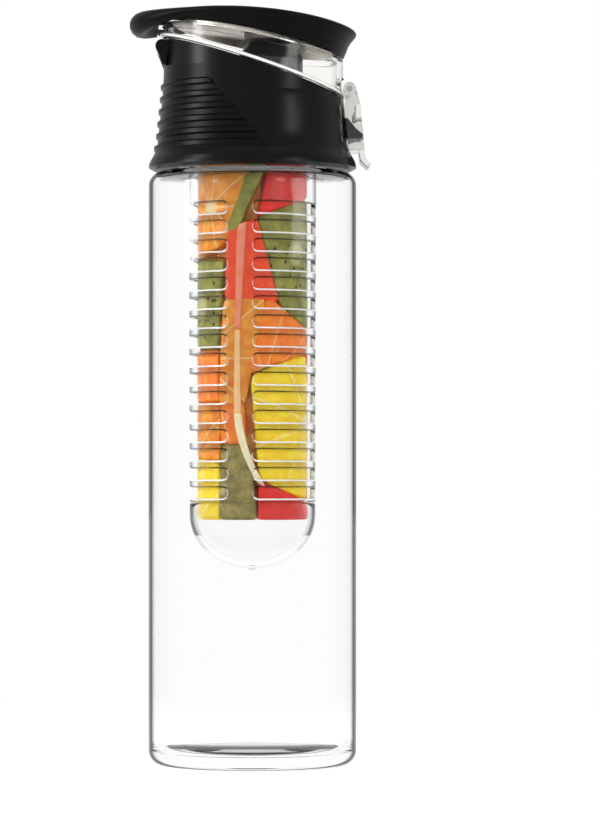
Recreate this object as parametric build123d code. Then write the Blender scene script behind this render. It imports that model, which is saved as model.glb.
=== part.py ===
"""Fruit infuser water bottle: clear bottle, screw lid with flip cap and latch, hanging slotted basket.

The origin is the middle of the base on the floor, +Z is up, +X is the latch side and -X the hinge side.
All lengths are millimetres. Screw threads are left to the dressed scene.
"""
import os
from math import asin
from math import cos
from math import degrees
from math import radians
from math import sin
from math import tan

from build123d import *

os.makedirs("parts", exist_ok=True)

# Shared clearances.
overrun = 1.0
body_gap = 0.3
fit_gap = 0.1
pin_play = 0.05
pin_end_wall = 1.0

# Bottle body.
body_d = 72.0
body_wall = 2.0
body_top = 205.0
base_t = 4.4
base_corner_r = 5.0
shoulder_corner_r = 4.5
shoulder_w = 9.0
foot_in = 11.0
foot_slope_w = 4.0
foot_rise = 1.5
inner_corner_r = 7.0
neck_wall = 2.4
neck_h = 17.0
neck_root_r = 1.5
neck_lip_r = 0.8
thread_depth = 1.2

# Threaded insert, and the boss under its deck that carries the basket.
collar_lift = 0.5
insert_wall = 1.6
insert_deck_t = 2.4
insert_lift = 1.5
thread_gap = 0.4
boss_h = 12.0
boss_wall = 2.2

# Lid collar: one black moulding from the bottle's shoulder up to the slanted rim.
collar_cheek = 0.7
collar_wall = 2.2
collar_taper_h = 34.5
collar_bevel_w = 2.0
collar_outline_shares = ((1.0, 0.03), (0.9, 0.1), (0.62, 0.175), (0.45, 0.24), (0.26, 0.52), (0.1, 0.74))
rim_rise = 14.0
rim_tilt = 18.3
deck_drop = 3.0
deck_t = 2.0
snap_h = 0.8
snap_w = 0.6

# Grip overmould on the back of the collar.
grip_t = 1.2
grip_rib_out = 0.8
grip_groove_in = 0.1
grip_rib_w = 2.6
grip_rib_count = 6
grip_rib_pitch = 4.25
grip_rib_drop = 6.1
grip_top_drop = 0.5
grip_bottom_rise = 3.1
grip_crest_drop = 5.5
grip_crest_share = 0.5
grip_toe_x = 5.0
grip_toe_rise = 6.5

# Lid gasket.
gasket_t = 2.0
gasket_lip = 0.4

# Infuser basket.
basket_play = 2.4
basket_draft = 0.4
basket_wall = 1.8
basket_gap = 0.4
slot_rows = 16
slot_columns = 3
slot_pitch = 6.52
slot_h = 3.75
slot_drop = 11.4
slot_rib_w = 8.9
slot_first_deg = -102.0
basket_foot_h = 1.4
spigot_h = 4.0
spigot_wall = 1.4

# Infuser end cap.
end_wall = 1.7
end_side_h = 4.0
end_dome_share = 0.853
end_nub_d = 2.4
end_nub_h = 0.5

# Infuser seal.
ring_d = 1.6
ring_drop = 8.0

# Flip cap.
skirt_out = 0.5
skirt_wall = 2.0
skirt_lift = 0.4
bead_out = 0.4
bead_h = 1.3
cover_seat_rise = 9.6
cover_seat_tilt = 11.7
plate_rise = 5.4
plate_tilt = 5.0
plate_t = 1.8
cap_neck_in = 1.5
seal_cup_wall = 1.2
seal_cup_h = 1.4

# Drinking spout and vent valve, as shares of the boss's inner radius where they share its deck.
spout_place_share = 0.341
spout_reach_share = 0.637
spout_flange_share = 0.76
spout_top_drop = 5.2
spout_wall = 2.0
spout_mouth_d = 9.0
spout_crown_d = 14.0
spout_crown_h = 5.6
spout_flange_t = 1.8
spout_round_r = 1.6
vent_place_share = 0.67
vent_head_share = 0.179
vent_head_t = 1.2
vent_d = 3.0
vent_stem_h = 3.0
vent_tip_d = 1.6

# Cap hinge.
hinge_out = 0.3
hinge_rise = 7.0
hinge_pin_d = 2.0
hinge_r = 2.3
hinge_knuckle_w = 13.4
hinge_ear_w = 4.0
hinge_notch_gap = 0.5
hinge_root_h = 6.5
hinge_arm_h = 7.4

# Black cover on the flip cap.
cover_edge_out = 0.4
cover_brow_drop = 0.4
cover_brow_tilt = 4.3
cover_rim_h = 1.3
cover_rim_share = 0.4
cover_crown_h = 3.2
cover_curl_w = 1.8
cover_front_out = 4.9
cover_side_out = 3.0
cover_waist_share = 0.55
cover_waist_tilt_share = 0.7
cover_waist_out = 0.9
cover_waist_back_share = 0.448
lip_d = 9.2
lip_out = 11.6
lip_span = 64.0
lip_rise = 0.3
lip_end_share = 0.4

# Spout seal.
seal_d = 18.0
seal_plug_play = 0.8
seal_plug_h = 2.0

# Latch on the cap and its catch on the collar. Each "out" is measured from the collar's upper wall.
latch_out = 2.6
latch_drop = 7.4
latch_pin_d = 1.8
latch_r = 2.2
latch_w = 17.0
latch_rail_w = 2.3
latch_rail_gap = 1.25
latch_foot_gap = 2.2
latch_shin_out = 6.3
latch_foot_out = 7.7
latch_plate_t = 1.4
latch_plate_h = 4.8
latch_bar_drop = 4.1
latch_bar_t = 1.7
latch_tab_t = 1.9
latch_tab_h = 6.0
latch_tab_out = 2.2
latch_knee_h = 2.6
catch_drop = 10.0
catch_h = 7.1
catch_out = 7.1
catch_side_gap = 1.0
catch_nose_h = 1.0

# Bottle, insert and collar radii and heights that follow.
body_r = body_d / 2
inner_r = body_r - body_wall
foot_r = body_r - foot_in
neck_r = body_r - shoulder_w
neck_bore_r = neck_r - neck_wall
neck_top = body_top + neck_h
insert_in_r = neck_r + thread_depth + thread_gap
insert_r = insert_in_r + insert_wall
collar_z = body_top + collar_lift
insert_z = collar_z + insert_lift
insert_deck_z = neck_top + body_gap + gasket_t + body_gap
insert_top = insert_deck_z + insert_deck_t
collar_top_r = insert_r + collar_cheek
collar_in_r = collar_top_r - collar_wall
rim_h = insert_top + rim_rise
grip_top = rim_h - grip_top_drop
grip_bottom = collar_z + grip_bottom_rise

# Basket, boss and deck parts.
basket_r = neck_bore_r - basket_play
basket_end_r = basket_r - basket_draft
basket_top = insert_deck_z - basket_gap
slot_top = body_top - slot_drop
basket_z = slot_top - (slot_rows - 1) * slot_pitch - slot_h - basket_foot_h
boss_r = basket_r - basket_wall - body_gap
boss_in_r = boss_r - boss_wall
spout_x = boss_in_r * spout_place_share
spout_r = boss_in_r * spout_reach_share
spout_flange_r = boss_in_r * spout_flange_share
spout_in_r = spout_r - spout_wall
mouth_r = spout_mouth_d / 2
vent_x = -boss_in_r * vent_place_share
vent_head_r = boss_in_r * vent_head_share

# Cap, cover, hinge and latch.
skirt_r = collar_top_r + skirt_out
skirt_in_r = skirt_r - skirt_wall
cap_neck_r = skirt_r - cap_neck_in
cap_neck_in_r = cap_neck_r - skirt_wall
cover_seat_h = rim_h + cover_seat_rise
plate_h = cover_seat_h + plate_rise
spout_top = plate_h - spout_top_drop
cover_brow_h = plate_h - cover_brow_drop
cover_rim_top = cover_brow_h + cover_rim_h
cover_top = cover_rim_top + cover_crown_h
cover_front = skirt_r + cover_front_out
cover_half_w = skirt_r + cover_side_out
lip_reach = skirt_r + lip_out
hinge_x = -collar_top_r - hinge_out
hinge_h = rim_h + hinge_rise
hinge_pin_r = hinge_pin_d / 2
hinge_w = hinge_knuckle_w + 2 * body_gap + 2 * hinge_ear_w
latch_x = collar_top_r + latch_out
latch_h = rim_h - latch_drop
latch_pin_r = latch_pin_d / 2
latch_in_w = latch_w - 2 * latch_rail_w
catch_w = latch_in_w - 2 * catch_side_gap
catch_top = latch_h - catch_drop
latch_bar_h = catch_top - catch_h - latch_bar_drop
latch_rail_in = collar_top_r + latch_rail_gap
latch_foot_in = collar_top_r + latch_foot_gap
shin_out = collar_top_r + latch_shin_out
bar_out = collar_top_r + latch_foot_out
bar_in = bar_out - latch_bar_t
span = 2 * body_d


def profile(points, radii):
    """Face in the XZ plane from corner points, each with its own corner radius."""
    return Plane.XZ * make_face(FilletPolyline(*points, radius=radii, close=True))


def turned(points, radii):
    """Solid of revolution about Z from an outline of radii and heights."""
    return revolve(profile(points, radii), axis=Axis.Z)


def tilted(height, tilt):
    """Plane that crosses the bottle's axis at a height and falls towards the latch side."""
    slope = radians(tilt)
    return Plane(origin=(0, 0, height), x_dir=(cos(slope), 0, -sin(slope)), z_dir=(sin(slope), 0, cos(slope)))


def above(height, tilt):
    """Block that fills the space over a tilted plane."""
    return tilted(height, tilt) * Box(span, span, span, align=(Align.CENTER, Align.CENTER, Align.MIN))


def below(height, tilt):
    """Block that fills the space under a tilted plane."""
    return tilted(height, tilt) * Box(span, span, span, align=(Align.CENTER, Align.CENTER, Align.MAX))


def drum(radius, low, high, x=0):
    """Upright cylinder between two heights."""
    return Pos(x, 0, low) * Cylinder(radius, high - low, align=(Align.CENTER, Align.CENTER, Align.MIN))


def rod(radius, width, x, height):
    """Cylinder that lies along Y, centred on the bottle's middle plane."""
    return Pos(x, 0, height) * Rot(90, 0, 0) * Cylinder(radius, width)


def pin(radius, width, x, height):
    """Steel pin that enters a hinge from its far side and stops short of the near side's outer face."""
    short = pin_end_wall + body_gap
    return Pos(0, short / 2, 0) * rod(radius, width - short, x, height)


def pin_hole(radius, width, x, height):
    """Hole for a pin, closed at the hinge's near side."""
    length = width - pin_end_wall + overrun
    return Pos(0, (pin_end_wall + overrun) / 2, 0) * rod(radius + pin_play, length, x, height)


def slab(face, width):
    """Side outline given a width, centred on the bottle's middle plane."""
    return extrude(face, amount=width / 2, both=True)


def pair(face, width, gap):
    """Two equal plates of a side outline, one at each side of a gap."""
    return slab(face, gap + 2 * width) - slab(face, gap)


def bottle_body():
    """Clear thick-based bottle with a rounded shoulder and a neck."""
    floor_edge = foot_r + foot_slope_w
    shoulder_in_r = max(shoulder_corner_r - body_wall, neck_lip_r)
    points = (
        (0, foot_rise),
        (foot_r, foot_rise),
        (floor_edge, 0),
        (body_r, 0),
        (body_r, body_top),
        (neck_r, body_top),
        (neck_r, neck_top),
        (neck_bore_r, neck_top),
        (neck_bore_r, body_top - body_wall),
        (inner_r, body_top - body_wall),
        (inner_r, base_t),
        (floor_edge, base_t),
        (foot_r, base_t + foot_rise),
        (0, base_t + foot_rise),
    )
    floor_in_r = min(inner_corner_r, inner_r - floor_edge - fit_gap)
    radii = (0, 0, 0, base_corner_r, shoulder_corner_r, neck_root_r, neck_lip_r, neck_lip_r, neck_root_r,
             shoulder_in_r, floor_in_r, 0, 0, 0)
    return turned(points, radii)


def collar_radius(share):
    """Collar radius at a share of its flare."""
    return collar_top_r + share * (body_r - collar_top_r)


def collar_radius_at(height):
    """Collar radius at a height, straight between the outline's points."""
    spots = collar_skin(0, rim_h)
    for (low_r, low_z), (high_r, high_z) in zip(spots, spots[1:]):
        if height <= high_z:
            return low_r + (high_r - low_r) * (height - low_z) / (high_z - low_z)
    return collar_top_r


def collar_skin(out, top):
    """Outline of the collar from its foot to a height, moved outwards by a distance."""
    spots = [(collar_radius(r) + out, collar_z + z * collar_taper_h) for r, z in collar_outline_shares]
    spots.append((collar_top_r + out, collar_z + collar_taper_h))
    spots.append((collar_top_r + out, top))
    return spots


def collar_blank(out):
    """Solid collar with its outer skin moved outwards by a distance, its seam clear of the slanted cuts."""
    spots = collar_skin(out, rim_h + collar_top_r)
    bottom = (spots[0][0] - collar_bevel_w, collar_z)
    curve = Spline(*spots[:-1], tangents=((0, 1), (0, 1)))
    lines = [Line((0, collar_z), bottom), Line(bottom, spots[0]), curve, Line(spots[-2], spots[-1])]
    lines += [Line(spots[-1], (0, spots[-1][1])), Line((0, spots[-1][1]), (0, collar_z))]
    return Rot(0, 0, 90) * revolve(Plane.XZ * make_face(lines), axis=Axis.Z)


def grip_region():
    """Side outline of the grip, closed far behind the bottle."""
    crest_x = -collar_top_r * grip_crest_share
    points = ((-span, grip_bottom), (grip_toe_x, grip_bottom), (grip_toe_x, collar_z + grip_toe_rise),
              (crest_x, rim_h - grip_crest_drop), (crest_x - grip_t, grip_top), (-span, grip_top))
    return slab(profile(points, 0), span)


def lid_collar():
    """Collar with slanted rim, recessed deck, hinge ears, latch catch and the seat of the grip."""
    shell = collar_blank(0) - above(rim_h, rim_tilt)
    bowl = drum(collar_in_r, collar_z, rim_h + span) & above(rim_h - deck_drop, rim_tilt)
    inside = drum(collar_in_r, collar_z - overrun, rim_h + span) & below(rim_h - deck_drop - deck_t, rim_tilt)
    nest = drum(insert_r + fit_gap, collar_z + snap_h, insert_top + fit_gap)
    mouth = drum(insert_r + fit_gap - snap_w, collar_z - overrun, collar_z + snap_h)
    shell -= [bowl, inside, nest, mouth]
    shell -= collar_recess()
    shell -= drum(spout_r + body_gap, insert_top, rim_h + span, spout_x)
    shell -= drum(vent_head_r, insert_top, rim_h + span, vent_x)
    shell += hinge_ears()
    shell -= hinge_notch()
    shell += latch_catch()
    return shell - pin_hole(hinge_pin_r, hinge_w, hinge_x, hinge_h)


def collar_recess():
    """Shallow pocket in the collar's back that holds the grip."""
    return (collar_blank(overrun) - collar_blank(-grip_t)) & grip_region()


def hinge_ears():
    """Two ears that stand out of the collar's back and hold the hinge pin."""
    inner = hinge_x + hinge_r
    wall = -collar_top_r + collar_wall / 2
    web = profile(((hinge_x - hinge_r, hinge_h), (inner, hinge_h), (wall, hinge_h - hinge_root_h),
                   (-collar_top_r, hinge_h - hinge_root_h)), 0)
    disc = Plane.XZ * Pos(hinge_x, hinge_h) * Circle(hinge_r)
    return pair(web, hinge_ear_w, hinge_knuckle_w + 2 * body_gap) + \
        pair(disc, hinge_ear_w, hinge_knuckle_w + 2 * body_gap)


def hinge_notch():
    """Room in the rim for the flip cap's knuckle and its arm."""
    width = hinge_knuckle_w + 2 * body_gap
    reach = hinge_r + hinge_notch_gap
    chimney = Box(2 * reach, width, span, align=(Align.CENTER, Align.CENTER, Align.MIN))
    return rod(reach, width, hinge_x, hinge_h) + Pos(hinge_x, 0, hinge_h) * chimney


def latch_catch():
    """Wedge on the collar's front that the latch clips over."""
    foot = catch_top - catch_h
    root = insert_r + 2 * fit_gap
    reach = collar_top_r + catch_out
    points = ((root, catch_top), (collar_top_r + collar_wall, catch_top), (reach, foot + catch_nose_h),
              (reach - catch_nose_h / 2, foot), (root, foot))
    return slab(profile(points, 0), catch_w)


def grip_sleeve():
    """Soft overmould with proud ribs in the collar's back pocket."""
    inner = collar_skin(-grip_t, rim_h)
    curve = Spline(*inner[:-1], tangents=((0, 1), (0, 1)))
    outer = [(collar_top_r - grip_groove_in, rim_h)]
    for index in range(grip_rib_count):
        height = grip_top - grip_rib_drop - index * grip_rib_pitch
        head = collar_radius_at(height + grip_rib_w / 2) - grip_groove_in
        foot = collar_radius_at(height - grip_rib_w / 2) - grip_groove_in
        crest = (head + foot) / 2 + grip_rib_out
        outer += [(head, height + grip_rib_w / 2), (crest, height + grip_rib_w / 4),
                  (crest, height - grip_rib_w / 4), (foot, height - grip_rib_w / 2)]
    outer += [spot for spot in reversed(collar_skin(-grip_groove_in, rim_h)) if spot[1] < outer[-1][1]]
    lines = [curve, Line(inner[-2], inner[-1]), Line(inner[-1], outer[0]), Polyline(*outer)]
    lines.append(Line(outer[-1], inner[0]))
    return revolve(Plane.XZ * make_face(lines), axis=Axis.Z) & grip_region()


def lid_insert():
    """Threaded insert: skirt round the neck, deck over it and boss that carries the basket."""
    skirt = drum(insert_r, insert_z, insert_top) - drum(insert_in_r, insert_z - overrun, insert_deck_z)
    boss = drum(boss_r, insert_deck_z - boss_h, insert_deck_z)
    boss -= drum(boss_r - boss_wall, insert_deck_z - boss_h - overrun, insert_deck_z)
    body = skirt + boss
    body -= drum(spout_in_r, insert_deck_z - overrun, insert_top + overrun, spout_x)
    body -= drum(vent_d / 2 + pin_play, insert_deck_z - overrun, insert_top + overrun, vent_x)
    ring_z = insert_deck_z - ring_drop
    groove = drum(boss_r + overrun, ring_z - ring_d / 2, ring_z + ring_d / 2)
    groove -= drum(boss_r - ring_d, ring_z - ring_d, ring_z + ring_d)
    return body - groove


def lid_gasket():
    """Flat silicone ring between the neck and the insert's deck."""
    low = neck_top + body_gap
    ring = drum(neck_r + gasket_lip, low, low + gasket_t)
    ring -= drum(neck_bore_r + gasket_lip, low - overrun, low + gasket_t + overrun)
    return fillet(ring.edges().filter_by(GeomType.CIRCLE), gasket_t / 4)


def drinking_spout():
    """Hollow spout that stands on the insert's deck and ends in a rounded crown with a mouth."""
    crown_z = spout_top - spout_crown_h
    points = (
        (spout_flange_r, insert_top),
        (spout_flange_r, insert_top + spout_flange_t),
        (spout_r, insert_top + spout_flange_t),
        (spout_r, crown_z),
        (spout_crown_d / 2, spout_top),
        (mouth_r, spout_top),
        (mouth_r, spout_top - spout_wall),
        (spout_in_r, crown_z - spout_wall),
        (spout_in_r, insert_top),
    )
    radii = (0, 0, 0, 2 * spout_round_r, spout_round_r, 0, 0, spout_round_r, 0)
    face = profile(points, radii)
    return Pos(spout_x, 0, 0) * revolve(face, axis=Axis.Z)


def vent_valve():
    """One-way silicone vent: head on the deck, stem through it and a narrow tip below."""
    tip_z = insert_deck_z - vent_stem_h
    points = (
        (0, insert_top + vent_head_t),
        (vent_head_r - fit_gap, insert_top + vent_head_t),
        (vent_head_r - fit_gap, insert_top),
        (vent_d / 2, insert_top),
        (vent_d / 2, insert_deck_z),
        (vent_tip_d / 2, tip_z),
        (0, tip_z),
    )
    return Pos(vent_x, 0, 0) * turned(points, (0, vent_head_t / 2, 0, 0, 0, 0, 0))


def infuser_seal():
    """Rubber ring in the boss's groove."""
    centre = boss_r - ring_d / 2
    return Pos(0, 0, insert_deck_z - ring_drop) * Torus(centre, ring_d / 2 - pin_play)


def hinge_pin():
    """Steel pin that joins the collar's ears and the cap's knuckle."""
    return pin(hinge_pin_r, hinge_w, hinge_x, hinge_h)


def flip_cap():
    """Clear cap: skirt from the slanted rim, neck under the cover, top plate, hinge and latch knuckles."""
    over_rim = above(rim_h + skirt_lift / cos(radians(rim_tilt)), rim_tilt)
    under_seat = below(cover_seat_h, cover_seat_tilt)
    tall = drum(skirt_r, collar_z, cover_top + span) & under_seat
    neck = drum(cap_neck_r, collar_z, cover_top + span) & below(plate_h, plate_tilt)
    bead = drum(skirt_r + bead_out, collar_z, cover_top + span)
    bead &= below(rim_h + skirt_lift + bead_h, rim_tilt)
    body = (tall + neck + bead) & over_rim
    step = skirt_wall / cos(radians(cover_seat_tilt))
    wide = drum(skirt_in_r, collar_z, cover_top + span) & below(cover_seat_h - step, cover_seat_tilt)
    narrow = drum(cap_neck_in_r, collar_z, cover_top + span) & below(plate_h - plate_t, plate_tilt)
    body -= [wide, narrow]
    body += seal_cup()
    body += hinge_knuckle()
    body += latch_knuckle()
    body -= rod(hinge_pin_r + pin_play, span, hinge_x, hinge_h)
    return body - rod(latch_pin_r + pin_play, span, latch_x, latch_h)


def seal_cup():
    """Ring under the cap's plate that holds the spout seal."""
    under = below(plate_h - plate_t / 2, plate_tilt) & above(plate_h - plate_t - seal_cup_h, plate_tilt)
    ring = drum(seal_d / 2 + seal_cup_wall, insert_top, cover_top, spout_x)
    return (ring - drum(seal_d / 2 + pin_play, collar_z, cover_top, spout_x)) & under


def hinge_knuckle():
    """Middle knuckle of the cap hinge and the arm that ties it to the skirt."""
    root = -skirt_r + skirt_wall / 2
    arm_top = min(hinge_h + hinge_arm_h, cover_seat_h + skirt_r * tan(radians(cover_seat_tilt)) - fit_gap)
    arm = profile(((hinge_x - hinge_r, hinge_h), (root, hinge_h + hinge_r), (root, arm_top),
                   (hinge_x - hinge_r / 2, arm_top)), 0)
    return slab(arm, hinge_knuckle_w) + rod(hinge_r, hinge_knuckle_w, hinge_x, hinge_h)


def latch_knuckle():
    """Knuckle on the skirt's front that carries the latch."""
    width = latch_in_w - 2 * body_gap
    root = skirt_r - skirt_wall / 2
    low = rim_h - skirt_r * tan(radians(rim_tilt)) + skirt_lift + fit_gap
    arm = profile(((latch_x, latch_h - latch_r), (latch_x + latch_r, latch_h), (root, latch_h + 2 * latch_r),
                   (root, max(low, latch_h - latch_r))), 0)
    return slab(arm, width) + rod(latch_r, width, latch_x, latch_h)


def cover_section(height, tilt, back, front, half_w):
    """Oval section of the cover in a tilted plane, given by its reach backwards, forwards and sideways."""
    middle = (front - back) / 2
    return tilted(height, tilt) * Pos(middle, 0) * Ellipse((front + back) / 2, half_w)


def cap_cover():
    """Black cover on the flip cap: flared sides, drawn-in rim, domed top and a rounded lip over the hinge."""
    edge_r = skirt_r + cover_edge_out
    waist_h = cover_seat_h + cover_waist_share * (cover_brow_h - cover_seat_h)
    waist_tilt = cover_seat_tilt + cover_waist_tilt_share * (cover_brow_tilt - cover_seat_tilt)
    waist_r = edge_r + cover_waist_out
    waist_back = edge_r + lip_out * cover_waist_back_share
    shell = loft([
        cover_section(cover_seat_h, cover_seat_tilt, edge_r, edge_r, edge_r),
        cover_section(waist_h, waist_tilt, waist_back, waist_r, waist_r),
        brow_section(0, 0),
    ])
    rim = loft([brow_section(0, 0), brow_section(cover_rim_h / 2, cover_curl_w * cover_rim_share),
                brow_section(cover_rim_h, cover_curl_w)], ruled=True)
    body = shell + rim + crown_dome() + lip_bar()
    pocket = drum(cap_neck_r + fit_gap, collar_z, cover_top + span) & below(plate_h + fit_gap, plate_tilt)
    body -= pocket
    return body - slab(knuckle_room(), hinge_knuckle_w + 2 * body_gap)


def brow_section(rise, inset):
    """Section of the cover's brow, or of its rim when it is raised and drawn in."""
    return cover_section(cover_brow_h + rise, cover_brow_tilt, lip_reach - lip_d / 2 - inset,
                         cover_front - inset, cover_half_w - inset)


def crown_dome():
    """Shallow dome on the cover's top, cut from a large ball."""
    base_r = cover_half_w - 2 * cover_curl_w
    radius = (base_r ** 2 + cover_crown_h ** 2) / (2 * cover_crown_h)
    crown = tilted(cover_top, cover_brow_tilt)
    ball = Pos(crown.origin - crown.z_dir * radius) * Sphere(radius)
    return ball & above(cover_rim_top - fit_gap, cover_brow_tilt)


def lip_bar():
    """Rounded thumb lip that runs round the back of the cover."""
    section = Plane.XZ * Pos(lip_reach - lip_d / 2, cover_brow_h + lip_rise) * Circle(lip_d / 2)
    bar = Rot(0, 0, 180 - lip_span / 2) * revolve(section, axis=Axis.Z, revolution_arc=lip_span)
    faces = bar.faces().filter_by(GeomType.PLANE)
    return fillet(faces.edges(), lip_d * lip_end_share)


def knuckle_room():
    """Side outline of the space that the cover leaves for the hinge arm."""
    top = hinge_h + hinge_arm_h + fit_gap
    return profile(((hinge_x - hinge_r - body_gap, hinge_h), (-cap_neck_r, hinge_h), (-cap_neck_r, top),
                    (hinge_x - hinge_r - body_gap, top)), 0)


def spout_seal():
    """Silicone pad under the cap's plate with a plug that enters the spout's mouth."""
    pad = drum(seal_d / 2, spout_top + body_gap, cover_top, spout_x)
    plug = drum(mouth_r - seal_plug_play, spout_top - seal_plug_h, cover_top, spout_x)
    return (pad + plug) & below(plate_h - plate_t - pin_play, plate_tilt)


def latch():
    """Clear latch: two rails that straddle the catch, a plate over it, a bar under it and a thumb tab."""
    shin_top = catch_top + latch_plate_h
    rail = profile(((latch_rail_in, latch_h), (latch_rail_in, catch_top), (latch_foot_in, latch_bar_h),
                    (bar_out, latch_bar_h), (shin_out, shin_top), (latch_x + latch_r, latch_h)), 0)
    disc = Plane.XZ * Pos(latch_x, latch_h) * Circle(latch_r)
    plate = profile(((shin_out - latch_plate_t, catch_top), (shin_out + body_gap, catch_top),
                     (shin_out, shin_top), (shin_out - latch_plate_t, shin_top)), 0)
    body = pair(rail, latch_rail_w, latch_in_w) + pair(disc, latch_rail_w, latch_in_w)
    body += slab(plate, latch_w)
    body += slab(thumb_tab(), latch_w)
    return body - pin_hole(latch_pin_r, latch_w, latch_x, latch_h)


def thumb_tab():
    """Side outline of the bar under the catch and of the tab that curves outwards from it."""
    knee = latch_bar_h - latch_knee_h
    tip = latch_bar_h - latch_tab_h
    tab_out = bar_out + latch_tab_out
    points = (
        (bar_in, latch_bar_h),
        (bar_out, latch_bar_h),
        (bar_out + body_gap, knee),
        (tab_out, tip + latch_tab_t / 2),
        (tab_out - latch_tab_t / 2, tip),
        (bar_in + body_gap, knee - latch_tab_t / 2),
    )
    return profile(points, (0, 0, latch_tab_t, 0, 0, latch_tab_t))


def latch_pin():
    """Steel pin of the latch."""
    return pin(latch_pin_r, latch_w, latch_x, latch_h)


def slot_cutter():
    """One slot: a band round part of the wall, closed by a round hole at each end."""
    radius = basket_r - basket_wall / 2
    reach = 360 / slot_columns - degrees(asin(slot_rib_w / basket_r)) - degrees(asin(slot_h / radius))
    low = basket_end_r - 2 * basket_wall
    high = basket_r + overrun
    face = profile(((low, 0), (high, 0), (high, slot_h), (low, slot_h)), 0)
    band = Rot(0, 0, -reach / 2) * revolve(face, axis=Axis.Z, revolution_arc=reach)
    hole = Pos((low + high) / 2, 0, slot_h / 2) * Rot(0, 90, 0) * Cylinder(slot_h / 2, high - low)
    return band + Rot(0, 0, reach / 2) * hole + Rot(0, 0, -reach / 2) * hole


def infuser_basket():
    """Slightly tapered tube with rows of round-ended slots and a spigot for its end cap."""
    cap_in_r = basket_end_r - end_wall
    spigot_r = cap_in_r - body_gap
    points = (
        (basket_end_r, basket_z),
        (basket_r, basket_top),
        (basket_r - basket_wall, basket_top),
        (basket_end_r - basket_wall, basket_z + basket_foot_h),
        (spigot_r - spigot_wall, basket_z),
        (spigot_r - spigot_wall, basket_z - spigot_h),
        (spigot_r, basket_z - spigot_h),
        (spigot_r, basket_z),
    )
    tube = turned(points, 0)
    cutter = slot_cutter()
    slots = []
    for column in range(slot_columns):
        angle = slot_first_deg + (column + 1 / 2) * 360 / slot_columns
        for row in range(slot_rows):
            slots.append(Pos(0, 0, slot_top - slot_h - row * slot_pitch) * Rot(0, 0, angle) * cutter)
    return tube - slots


def infuser_end_cap():
    """Domed end cap with a small moulding nub at its lowest point."""
    top = basket_z - body_gap
    spring = top - end_side_h
    outer_h = basket_end_r * end_dome_share
    outside = dome(basket_end_r, outer_h, spring, top)
    inside = dome(basket_end_r - end_wall, outer_h - end_wall, spring, top + overrun)
    nub = drum(end_nub_d / 2, spring - outer_h - end_nub_h, spring - outer_h + end_wall / 2)
    return outside - inside + nub


def dome(radius, depth, spring, top):
    """Solid with an upright wall from a height to its top and a flattened ball's half under it."""
    arc = EllipticalCenterArc((0, spring), radius, depth, start_angle=270, arc_size=90)
    lines = [arc, Line((radius, spring), (radius, top)), Line((radius, top), (0, top))]
    lines.append(Line((0, top), (0, spring - depth)))
    return revolve(Plane.XZ * make_face(lines), axis=Axis.Z)


pieces = {
    "bottle_body": bottle_body(),
    "lid_collar": lid_collar(),
    "grip_sleeve": grip_sleeve(),
    "lid_insert": lid_insert(),
    "lid_gasket": lid_gasket(),
    "drinking_spout": drinking_spout(),
    "vent_valve": vent_valve(),
    "infuser_seal": infuser_seal(),
    "hinge_pin": hinge_pin(),
    "flip_cap": flip_cap(),
    "cap_cover": cap_cover(),
    "spout_seal": spout_seal(),
    "latch": latch(),
    "latch_pin": latch_pin(),
    "infuser_basket": infuser_basket(),
    "infuser_end_cap": infuser_end_cap(),
}

for name, shape in pieces.items():
    solids = shape.solids()
    box = shape.bounding_box()
    print(name, len(solids), round(shape.volume), [round(v, 1) for v in (*box.min, *box.max)])
    export_step(Compound(solids) if len(solids) > 1 else solids[0], f"parts/{name}.step")
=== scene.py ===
"""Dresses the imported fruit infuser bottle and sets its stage, lights and camera.

Pieces are sized in millimetres, lamps and camera in metres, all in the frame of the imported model: origin in
the middle of the base, +Z up, +X at the latch.
"""
from __future__ import annotations

import logging
from collections.abc import Callable, Sequence
from dataclasses import dataclass
from enum import Enum, IntEnum
from math import asin, atan2, cos, degrees, hypot, pi, radians, sin, tan

import bpy
from mathutils import Euler, Matrix, Vector

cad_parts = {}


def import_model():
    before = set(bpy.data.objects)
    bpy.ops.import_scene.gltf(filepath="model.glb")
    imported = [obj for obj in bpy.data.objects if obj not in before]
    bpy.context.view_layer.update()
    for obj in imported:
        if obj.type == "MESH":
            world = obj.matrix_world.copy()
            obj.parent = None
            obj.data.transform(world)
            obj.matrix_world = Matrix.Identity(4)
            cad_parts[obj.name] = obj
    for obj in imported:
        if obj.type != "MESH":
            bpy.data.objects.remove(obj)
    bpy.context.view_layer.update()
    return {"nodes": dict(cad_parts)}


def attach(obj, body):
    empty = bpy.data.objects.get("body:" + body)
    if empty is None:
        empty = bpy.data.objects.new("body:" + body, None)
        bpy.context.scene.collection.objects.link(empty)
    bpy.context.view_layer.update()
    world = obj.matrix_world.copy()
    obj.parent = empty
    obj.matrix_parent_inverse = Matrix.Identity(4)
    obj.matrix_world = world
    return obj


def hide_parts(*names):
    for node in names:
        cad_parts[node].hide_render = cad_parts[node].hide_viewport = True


LOG = logging.getLogger("bottle")
MM = 0.001
MERGE = 0.01
CUT = "cut"
WHITE = (1.0, 1.0, 1.0, 1.0)
Colour = tuple[float, float, float]
Spot = tuple[float, float]
Corner = tuple[float, float, float]
Source = bpy.types.NodeSocket
Material = bpy.types.Material
Piece = bpy.types.Object


# Materials


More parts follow.
